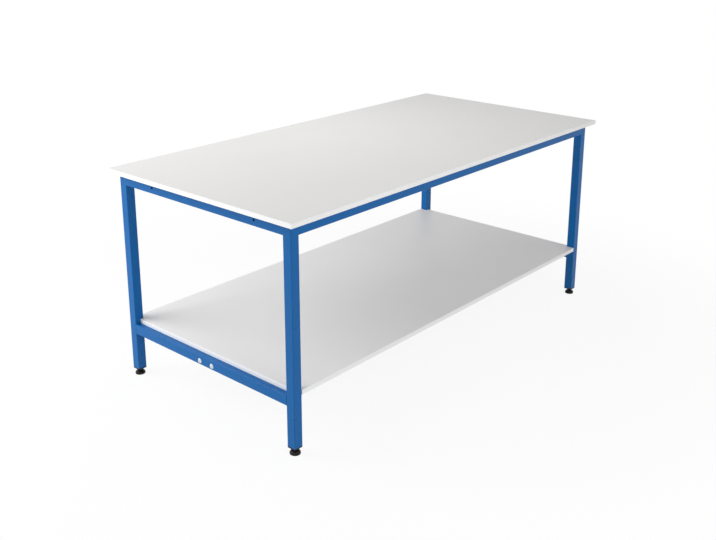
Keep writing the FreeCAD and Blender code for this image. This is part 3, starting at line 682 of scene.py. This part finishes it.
def bead_tree():
    """Geometry tree that sweeps a round bead with crescent ripples along each edge of a mesh.

    Its width wanders by a share of itself, and falls off over a share of its length at each end.
    """
    rings_a_ripple = 5
    segments = 12
    wander_width = 7 * MM
    wander_share = 0.15
    end_share = 0.08
    end_width = 0.35
    tree, given = start_tree("weld_bead", {
        "Radius": "Float",
        "Ripple": "Float",
        "Ripple Share": "Float",
        "Seed": "Int",
        "Finish": "Material",
    })
    curve = add_node(tree, "GeometryNodeMeshToCurve", {"Mesh": given.outputs["Geometry"]})
    spacing = add_node(tree, "ShaderNodeMath", {
        0: given.outputs["Ripple"], 1: rings_a_ripple,
    }, operation="DIVIDE")
    fine = add_node(tree, "GeometryNodeResampleCurve", {
        "Curve": curve.outputs["Curve"], "Length": spacing.outputs[0],
    }, mode="LENGTH")
    along = add_node(tree, "GeometryNodeSplineParameter")
    ripples = add_node(tree, "ShaderNodeMath", {
        0: along.outputs["Length"], 1: given.outputs["Ripple"],
    }, operation="DIVIDE")
    phase = add_node(tree, "ShaderNodeMath", {0: ripples.outputs[0]}, operation="FRACT")
    fall = add_node(tree, "ShaderNodeMath", {0: phase.outputs[0], 1: 2.0}, operation="POWER")
    loss = add_node(tree, "ShaderNodeMath", {
        0: fall.outputs[0], 1: given.outputs["Ripple Share"],
    }, operation="MULTIPLY")
    rippled = add_node(tree, "ShaderNodeMath", {0: 1.0, 1: loss.outputs[0]}, operation="SUBTRACT")
    wander = add_node(tree, "ShaderNodeTexNoise", {
        "W": given.outputs["Seed"], "Scale": 1 / wander_width,
    }, noise_dimensions="4D")
    uneven = add_node(tree, "ShaderNodeMapRange", {
        "Value": wander.outputs["Fac"], "To Min": 1 - wander_share, "To Max": 1 + wander_share,
    })
    wide = add_node(tree, "ShaderNodeMath", {
        0: rippled.outputs[0], 1: uneven.outputs["Result"],
    }, operation="MULTIPLY")
    back = add_node(tree, "ShaderNodeMath", {0: 1.0, 1: along.outputs["Factor"]}, operation="SUBTRACT")
    nearest = add_node(tree, "ShaderNodeMath", {
        0: along.outputs["Factor"], 1: back.outputs[0],
    }, operation="MINIMUM")
    taper = add_node(tree, "ShaderNodeMapRange", {
        "Value": nearest.outputs[0], "From Max": end_share, "To Min": end_width, "To Max": 1.0,
    }, interpolation_type="SMOOTHSTEP")
    size = add_node(tree, "ShaderNodeMath", {
        0: wide.outputs[0], 1: taper.outputs["Result"],
    }, operation="MULTIPLY")
    round_bead = add_node(tree, "GeometryNodeCurvePrimitiveCircle", {
        "Resolution": segments, "Radius": given.outputs["Radius"],
    })
    swept = add_node(tree, "GeometryNodeCurveToMesh", {
        "Curve": fine.outputs["Curve"], "Profile Curve": round_bead.outputs["Curve"],
        "Scale": size.outputs[0], "Fill Caps": True,
    })
    smooth = add_node(tree, "GeometryNodeSetShadeSmooth", {"Geometry": swept.outputs["Mesh"]})
    return end_tree(tree, smooth.outputs["Geometry"], given.outputs["Finish"])


# ------------ screws and studs

def add_hexagon(shell, centre, low, high, flats, bore=0, segments=60):
    """A hexagon with both ends turned down to a 30 degree chamfer, bored through where asked."""
    turned_share = 0.96
    turned = flats / 2 * turned_share
    slope = math.tan(math.radians(30))
    sixth = math.tau / 6

    def corner_reach(angle):
        """From the middle to the hexagon's side at an angle."""
        return flats / 2 / math.cos((angle - sixth / 2) % sixth - sixth / 2)

    def chamfered(height, direction):
        """The hexagon's outline, further from an end the further it reaches."""
        return [
            point + Vector((0, 0, direction * slope * ((point.xy - centre.xy).length - turned)))
            for point in polar_ring(centre, height, corner_reach, segments)
        ]

    rings = [
        polar_ring(centre, low, turned, segments), chamfered(low, 1),
        chamfered(high, -1), polar_ring(centre, high, turned, segments),
    ]
    if bore:
        rings = [polar_ring(centre, low, bore, segments), *rings, polar_ring(centre, high, bore, segments)]
    add_rings(shell, rings, bored=bool(bore))


def add_stud(shell, centre, low, high, sizes, segments=48):
    """A foot's stud between two heights: collar, neck, spanner hexagon and thread."""
    overlap = 0.2 * MM
    collar_top = low + sizes.collar_height
    neck_top = collar_top + sizes.neck
    hexagon_top = neck_top + sizes.hexagon_height
    rim = sizes.collar - sizes.bevel
    add_turned(shell, centre, [
        (low, rim), (low + sizes.bevel, sizes.collar),
        (collar_top - sizes.bevel, sizes.collar), (collar_top, rim),
    ], segments)
    neck = [(collar_top - overlap, sizes.crest), (neck_top + overlap, sizes.crest)]
    add_turned(shell, centre, neck, segments)
    add_hexagon(shell, centre, neck_top, hexagon_top, sizes.hexagon_flats)
    add_thread(shell, centre, hexagon_top - overlap, high, sizes.pitch, sizes.crest, sizes.depth)


def add_bolt(shell, radius, height, sizes, segments=48):
    """A domed bolt with its head below the origin and its end at the height."""
    dome_shares = (0.1, 0.3, 0.5, 0.7, 0.85, 0.95, 1.0)
    origin = Vector()
    ball = (radius ** 2 + sizes.dome ** 2) / (2 * sizes.dome)
    profile = []
    for share in dome_shares:
        reach = radius * share
        profile.append((ball - sizes.dome - math.sqrt(ball ** 2 - reach ** 2), reach))
    plain = height - sizes.threaded
    profile += [(0, sizes.crest), (plain, sizes.crest)]
    add_turned(shell, origin, profile, segments)
    add_thread(shell, origin, plain - sizes.pitch, height, sizes.pitch, sizes.crest, sizes.depth)


def add_screw_head(shell, radius, neck, sizes, segments=48):
    """A pan head below the origin, with a six-lobed recess in its crown.

    The recess is given by depths and shares of its width, the crown by shares of the head's height and
    radius, both from the middle outwards.
    """
    lip = 0.15 * MM
    neck_height = 1 * MM
    lobe_share = 0.16
    recess = ((sizes.recess_depth, 0.6), (sizes.recess_depth * 0.9, 0.82), (lip, 0.84), (0, 0.9))
    crown = ((0.04, 0.62), (0.22, 0.84), (0.5, 0.96), (0.8, 1.0), (1.0, 0.99))

    def lobes(share):
        """The recess's reach, for a share of its width, at any angle."""
        return lambda angle: sizes.recess / 2 * share * (1 + lobe_share * math.cos(6 * angle))

    add_turned(shell, Vector(), [
        *[(depth - sizes.head, lobes(share)) for depth, share in recess],
        *[((level - 1) * sizes.head, radius * share) for level, share in crown],
        (0, neck), (neck_height, neck),
    ], segments)


def add_screw(shell, radius, tip_height, sizes, segments=16):
    """A pan-head screw seated on the origin: head, thread and pointed tip."""
    origin = Vector()
    crest = radius / 2
    core = crest - sizes.depth
    thread_low = 0.8 * MM
    thread_high = tip_height - sizes.tip
    point = 0.15 * MM
    add_screw_head(shell, radius, crest - sizes.depth / 2, sizes)
    add_thread(shell, origin, thread_low, thread_high, sizes.pitch, crest, sizes.depth, segments=segments)
    add_turned(shell, origin, [(thread_high - point, core), (tip_height, point)], segments)


def screw_tree():
    """Geometry tree that puts one screw on every point of a mesh, each turned its own way."""
    tree, given = start_tree("screw_on_points", {"Screw": "Object", "Seed": "Int", "Finish": "Material"})
    screw = add_node(tree, "GeometryNodeObjectInfo", {"Object": given.outputs["Screw"]})
    turn = add_node(tree, "FunctionNodeRandomValue", {
        "Max": (0.0, 0.0, math.tau), "Seed": given.outputs["Seed"],
    }, data_type="FLOAT_VECTOR")
    placed = add_node(tree, "GeometryNodeInstanceOnPoints", {
        "Points": given.outputs["Geometry"], "Instance": screw.outputs["Geometry"],
        "Rotation": turn.outputs["Value"],
    })
    return end_tree(tree, placed.outputs["Instances"], given.outputs["Finish"])


# ------------ operators

class PaintFrame(Operator):
    """Give the welded tubes and plates their powder coat"""

    bl_idname = "assembly_table.paint_frame"
    bl_label = "Paint frame"

    def execute(self, context):
        paint_nodes(FRAME_NODES, finished(powder_coat, context.scene.frame_finish))
        return {"FINISHED"}


class FaceBoards(Operator):
    """Give worktop and shelf their melamine faces and edging strips"""

    bl_idname = "assembly_table.face_boards"
    bl_label = "Face boards"

    def execute(self, context):
        finish = context.scene.board_finish
        paint_nodes(["worktop_board", "shelf_board"], finished(melamine_board, finish))
        strips = [name for name in frame["nodes"] if "_edging_" in name]
        paint_nodes(strips, finished(abs_edging, finish))
        return {"FINISHED"}


class FinishHardware(Operator):
    """Give washers, insert nuts, leg inserts and pads their finish"""

    bl_idname = "assembly_table.finish_hardware"
    bl_label = "Finish hardware"

    def execute(self, context):
        finish = context.scene.hardware_finish
        paint_nodes(["stretcher_washers"], finished(zinc_plate, finish))
        paint_nodes(["insert_nuts"], finished(blackened_steel, finish))
        mouldings = [f"{piece}_{corner}" for piece in ("foot_pad", "leg_insert") for corner, _, _ in CORNERS]
        paint_nodes(mouldings, finished(black_nylon, finish))
        return {"FINISHED"}


class GrindCorners(Operator):
    """Fill the grooves between legs and top rails with weld metal, ground flush and painted over"""

    bl_idname = "assembly_table.grind_corners"
    bl_label = "Ground corner welds"

    def execute(self, context):
        shell = bmesh.new()
        for rings in corner_seams(context.scene.weld_sizes):
            add_rings(shell, rings)
        paint = finished(powder_coat, context.scene.frame_finish)
        welds = object_from(shell, "ground_corner_welds", paint)
        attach(welds, "table")
        return {"FINISHED"}


class LayBeads(Operator):
    """Lay rippled fillet beads along the frame's inner and lower seams"""

    bl_idname = "assembly_table.lay_beads"
    bl_label = "Fillet beads"

    def execute(self, context):
        weld = context.scene.weld_sizes
        lines = bead_lines(weld)
        edges = [(2 * index, 2 * index + 1) for index in range(len(lines))]
        beads = drawn("fillet_beads", [point for line in lines for point in line], edges)
        run_tree(beads, bead_tree(), {
            "Radius": weld.bead_radius,
            "Ripple": weld.ripple,
            "Ripple Share": weld.ripple_share,
            "Seed": weld.seed,
            "Finish": finished(powder_coat, context.scene.frame_finish),
        })
        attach(beads, "table")
        return {"FINISHED"}


class CutStuds(Operator):
    """Make the four foot studs with collar, spanner hexagon and thread"""

    bl_idname = "assembly_table.cut_studs"
    bl_label = "Threaded studs"

    def execute(self, context):
        steel = finished(blackened_steel, context.scene.hardware_finish)
        for corner, _, _ in CORNERS:
            node = f"foot_stud_{corner}"
            low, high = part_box(node)
            shell = bmesh.new()
            add_stud(shell, (low + high) / 2, low.z, high.z, context.scene.stud_sizes)
            stud = object_from(shell, f"threaded_stud_{corner}", steel)
            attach(stud, f"stud_{corner}")
            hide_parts(node)
        return {"FINISHED"}


class CutBolts(Operator):
    """Make the stretcher's domed bolts with their threads, and their chamfered nuts"""

    bl_idname = "assembly_table.cut_bolts"
    bl_label = "Stretcher bolts"

    def execute(self, context):
        sizes = context.scene.bolt_sizes
        zinc = finished(zinc_plate, context.scene.hardware_finish)
        bolts, nuts = bmesh.new(), bmesh.new()
        for low, high in solid_boxes("stretcher_bolts"):
            radius = (high.y - low.y) / 2
            shank = high.x - low.x - sizes.dome
            add_placed(bolts, self.inwards(low, high, sizes.dome), add_bolt, radius, shank, sizes)
        for low, high in solid_boxes("stretcher_nuts"):
            bore = sizes.crest - sizes.depth / 2
            details = (Vector(), 0, high.x - low.x, sizes.nut_flats, bore)
            add_placed(nuts, self.inwards(low, high, 0), add_hexagon, *details)
        for shell, name in ((bolts, "stretcher_bolts"), (nuts, "stretcher_nuts")):
            piece = object_from(shell, f"turned_{name}", zinc)
            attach(piece, "table")
            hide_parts(name)
        return {"FINISHED"}

    def inwards(self, low, high, depth):
        """Lay a standing shape down, pointing into the table from a depth below its box's outer face."""
        middle = (low + high) / 2
        side = math.copysign(1, middle.x)
        outer = high.x if side > 0 else low.x
        corner_up = Matrix.Rotation(math.pi / 6, 4, "Z")
        lie_down = Matrix.Rotation(-side * math.pi / 2, 4, "Y")
        return Matrix.Translation((outer - side * depth, middle.y, middle.z)) @ lie_down @ corner_up


class DriveScrews(Operator):
    """Drive chipboard screws with six-lobed heads through rails and stretcher into the boards"""

    bl_idname = "assembly_table.drive_screws"
    bl_label = "Board screws"

    def execute(self, context):
        sizes = context.scene.screw_sizes
        zinc = finished(zinc_plate, context.scene.hardware_finish)
        for node in ("worktop_screws", "shelf_screws"):
            boxes = solid_boxes(node)
            low, high = boxes[0]
            shell = bmesh.new()
            add_screw(shell, (high.x - low.x) / 2, high.z - low.z - sizes.head, sizes)
            screw = object_from(shell, "screw", zinc)
            screws = drawn(f"six_lobe_{node}", [self.seat(*box, sizes.head) for box in boxes])
            run_tree(screws, screw_tree(), {"Screw": screw, "Seed": sizes.seed, "Finish": zinc})
            bpy.data.objects.remove(screw)
            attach(screws, "table")
            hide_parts(node)
        return {"FINISHED"}

    def seat(self, low, high, head):
        """Where the head of a standing screw ends, in the middle of the screw's box."""
        return Vector(((low.x + high.x) / 2, (low.y + high.y) / 2, low.z + head))


def shown_ray(tree):
    """1 for the rays that show the background: straight ones, reflections and those through glass."""
    rays = add_node(tree, "ShaderNodeLightPath")
    seen = add_node(tree, "ShaderNodeMath", {
        0: rays.outputs["Is Camera Ray"], 1: rays.outputs["Is Glossy Ray"],
    }, operation="MAXIMUM")
    seen = add_node(tree, "ShaderNodeMath", {
        0: seen.outputs[0], 1: rays.outputs["Is Transmission Ray"],
    }, operation="MAXIMUM")
    return seen.outputs[0]


def paper_floor(studio):
    """White paper with the white behind it showing through, dimmed near the table by the paper's shade."""
    material = bpy.data.materials.new("paper_floor")
    tree = empty_tree(material)
    place = add_node(tree, "ShaderNodeTexCoord").outputs["Object"]
    distance = add_node(tree, "ShaderNodeVectorMath", {0: place}, operation="LENGTH")
    fade = add_node(tree, "ShaderNodeMapRange", {
        "Value": distance.outputs["Value"], "From Min": studio.shadow_near, "From Max": studio.shadow_far,
        "To Min": 1 - studio.shadow_share, "To Max": 1.0,
    }, interpolation_type="SMOOTHSTEP")
    clear = add_node(tree, "ShaderNodeMath", {
        0: fade.outputs["Result"], 1: shown_ray(tree),
    }, operation="MULTIPLY")
    paper = add_node(tree, "ShaderNodeBsdfDiffuse", {"Color": shade(studio.paper, 1)})
    nothing = add_node(tree, "ShaderNodeBsdfTransparent")
    both = add_node(tree, "ShaderNodeMixShader", {
        0: clear.outputs[0], 1: paper.outputs["BSDF"], 2: nothing.outputs["BSDF"],
    })
    add_node(tree, "ShaderNodeOutputMaterial", {"Surface": both.outputs["Shader"]})
    return material


class SetStage(Operator):
    """Set up the floor, the light and the camera"""

    bl_idname = "assembly_table.set_stage"
    bl_label = "Studio"

    def execute(self, context):
        studio = context.scene.studio_setup
        self.lay_floor(studio)
        self.light(context, studio)
        self.place_camera(context, studio)
        context.scene.view_settings.view_transform = "Standard"
        return {"FINISHED"}

    def lay_floor(self, studio):
        """A square of paper that the feet stand on."""
        reach = studio.floor_reach
        corners = [(-reach, -reach, 0), (reach, -reach, 0), (reach, reach, 0), (-reach, reach, 0)]
        floor = drawn("floor", corners, faces=[(0, 1, 2, 3)])
        floor.data.materials.append(paper_floor(studio))

    def light(self, context, studio):
        """Even light, three lamps that give no reflection, and the soft lamp's reflection by itself."""
        white = (1, 1, 1, 1)
        world = bpy.data.worlds.new("studio")
        tree = empty_tree(world)
        level = add_node(tree, "ShaderNodeMix", {
            "Factor_Float": shown_ray(tree), "A_Float": studio.sky, "B_Float": 1.0,
        })
        sky = add_node(tree, "ShaderNodeBackground", {
            "Strength": socket(level.outputs, "Result_Float"), "Color": white,
        })
        add_node(tree, "ShaderNodeOutputWorld", {"Surface": sky.outputs["Background"]})
        context.scene.world = world
        soft = (studio.lamp_power, studio.lamp_size, studio.lamp_place)
        fill = (studio.fill_power, studio.fill_size, studio.fill_place)
        over = (studio.over_power, studio.over_size, studio.over_place)
        for name, setting in (("soft_lamp", soft), ("fill_lamp", fill), ("over_lamp", over)):
            self.hang_lamp(name, *setting).visible_glossy = False
        gleam = self.hang_lamp("gleam_lamp", *soft)
        gleam.visible_diffuse = False
        gleam.light_linking.receiver_collection = self.shiny_pieces(context)

    def shiny_pieces(self, context):
        """Frame, hardware and feet: what mirrors the soft lamp. On the boards its image would glare."""
        shiny = bpy.data.collections.new("shiny_pieces")
        for piece in context.scene.objects:
            matt = any(word in piece.name for word in ("board", "edging", "floor"))
            if piece.type == "MESH" and not matt:
                shiny.objects.link(piece)
        return shiny

    def hang_lamp(self, name, power, size, place):
        """A square lamp that looks at the floor under the table's middle and isn't seen itself."""
        lamp = bpy.data.lights.new(name, "AREA")
        lamp.energy = power
        lamp.size = size
        bulb = linked(name, lamp)
        bulb.location = place
        bulb.rotation_euler = (-Vector(place)).to_track_quat("-Z", "Y").to_euler()
        bulb.visible_camera = False
        return bulb

    def place_camera(self, context, studio):
        """The camera at its place, turned and tilted, with its lens shifted."""
        camera = bpy.data.cameras.new("camera")
        camera.lens = studio.lens
        camera.shift_y = studio.rise
        eye = linked("camera", camera)
        eye.location = studio.camera_place
        eye.rotation_euler = (math.pi / 2 - studio.camera_tilt, 0, -studio.camera_heading)
        context.scene.camera = eye


# ------------ panel and registration

GROUPS = {
    "frame_finish": FrameFinish,
    "board_finish": BoardFinish,
    "hardware_finish": HardwareFinish,
    "weld_sizes": WeldSizes,
    "stud_sizes": StudSizes,
    "bolt_sizes": BoltSizes,
    "screw_sizes": ScrewSizes,
    "studio_setup": StudioSetup,
}
STEPS = (
    PaintFrame, FaceBoards, FinishHardware, GrindCorners, LayBeads,
    CutStuds, CutBolts, DriveScrews, SetStage,
)


class TablePanel(Panel):
    """Sizes, colours and steps of the table's looks"""

    bl_idname = "VIEW3D_PT_assembly_table"
    bl_label = "Assembly table"
    bl_space_type = "VIEW_3D"
    bl_region_type = "UI"
    bl_category = "Table"

    def draw(self, context):
        for name, group in GROUPS.items():
            box = self.layout.box()
            box.label(text=group.__doc__)
            for entry in group.__annotations__:
                box.prop(getattr(context.scene, name), entry)
        for step in STEPS:
            self.layout.operator(step.bl_idname)


def register():
    for name, group in GROUPS.items():
        bpy.utils.register_class(group)
        setattr(bpy.types.Scene, name, PointerProperty(type=group))
    for entry in (*STEPS, TablePanel):
        bpy.utils.register_class(entry)


def unregister():
    for entry in (TablePanel, *reversed(STEPS)):
        bpy.utils.unregister_class(entry)
    for name, group in GROUPS.items():
        delattr(bpy.types.Scene, name)
        bpy.utils.unregister_class(group)


def main():
    """Dress the table."""
    register()
    for step in STEPS:
        getattr(bpy.ops.assembly_table, step.bl_idname.split(".")[1])()


if __name__ == "__main__":
    main()
